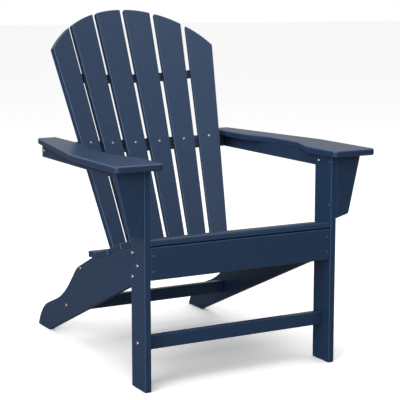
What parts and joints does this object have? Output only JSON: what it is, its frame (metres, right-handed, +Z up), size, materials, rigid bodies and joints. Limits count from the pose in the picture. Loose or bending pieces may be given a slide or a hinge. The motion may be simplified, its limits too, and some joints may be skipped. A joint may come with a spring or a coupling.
{
  "type": "adirondack chair",
  "caption": "Fixed adirondack chair: fan back of tapered slats with an arched top, contoured slatted seat, wide waisted armrests on rails and brackets, and long sloping stringers for rear feet.",
  "frame": {"origin": "on the floor, under the middle of the chair's width and depth", "axes": "+Z up; the sitter faces -Y; -X is the left side as seen from in front of the chair; the left and right sides mirror each other across X = 0"},
  "size_m": [0.788, 0.8364, 0.9744],
  "materials": {
    "navy_lumber": "embossed, satin",
    "stainless_fastener": "satin"
  },
  "bodies": {
    "root": {"apron_screw_left_1": "stainless_fastener", "apron_screw_left_2": "stainless_fastener", "apron_screw_right_1": "stainless_fastener", "apron_screw_right_2": "stainless_fastener", "arm_bracket_left": "navy_lumber", "arm_bracket_right": "navy_lumber", "arm_cross_rail": "navy_lumber", "arm_rail_bolt_left": "stainless_fastener", "arm_rail_bolt_right": "stainless_fastener", "arm_rail_left": "navy_lumber", "arm_rail_right": "navy_lumber", "armrest_left": "navy_lumber", "armrest_right": "navy_lumber", "back_slat_1": "navy_lumber", "back_slat_2": "navy_lumber", "back_slat_3": "navy_lumber", "back_slat_4": "navy_lumber", "back_slat_5": "navy_lumber", "back_slat_6": "navy_lumber", "brace_screw_left": "stainless_fastener", "brace_screw_right": "stainless_fastener", "bracket_screw_left_1": "stainless_fastener", "bracket_screw_left_2": "stainless_fastener", "bracket_screw_right_1": "stainless_fastener", "bracket_screw_right_2": "stainless_fastener", "cross_rail_bolt_left": "stainless_fastener", "cross_rail_bolt_right": "stainless_fastener", "front_apron": "navy_lumber", "front_leg_left": "navy_lumber", "front_leg_right": "navy_lumber", "front_stretcher": "navy_lumber", "front_stretcher_bolt_left": "stainless_fastener", "front_stretcher_bolt_right": "stainless_fastener", "leg_bolt_left_1": "stainless_fastener", "leg_bolt_left_2": "stainless_fastener", "leg_bolt_left_3": "stainless_fastener", "leg_bolt_right_1": "stainless_fastener", "leg_bolt_right_2": "stainless_fastener", "leg_bolt_right_3": "stainless_fastener", "lower_back_brace": "navy_lumber", "lower_brace_bolt_left": "stainless_fastener", "lower_brace_bolt_right": "stainless_fastener", "middle_back_brace": "navy_lumber", "rear_stretcher": "navy_lumber", "rear_stretcher_bolt_left": "stainless_fastener", "rear_stretcher_bolt_right": "stainless_fastener", "seat_board_1": "navy_lumber", "seat_board_2": "navy_lumber", "seat_board_3": "navy_lumber", "seat_board_4": "navy_lumber", "seat_board_5": "navy_lumber", "slat_screw_1": "stainless_fastener", "slat_screw_2": "stainless_fastener", "slat_screw_3": "stainless_fastener", "slat_screw_4": "stainless_fastener", "slat_screw_5": "stainless_fastener", "slat_screw_6": "stainless_fastener", "stringer_left": "navy_lumber", "stringer_right": "navy_lumber", "upper_back_brace": "navy_lumber"}
  },
  "joints": []
}
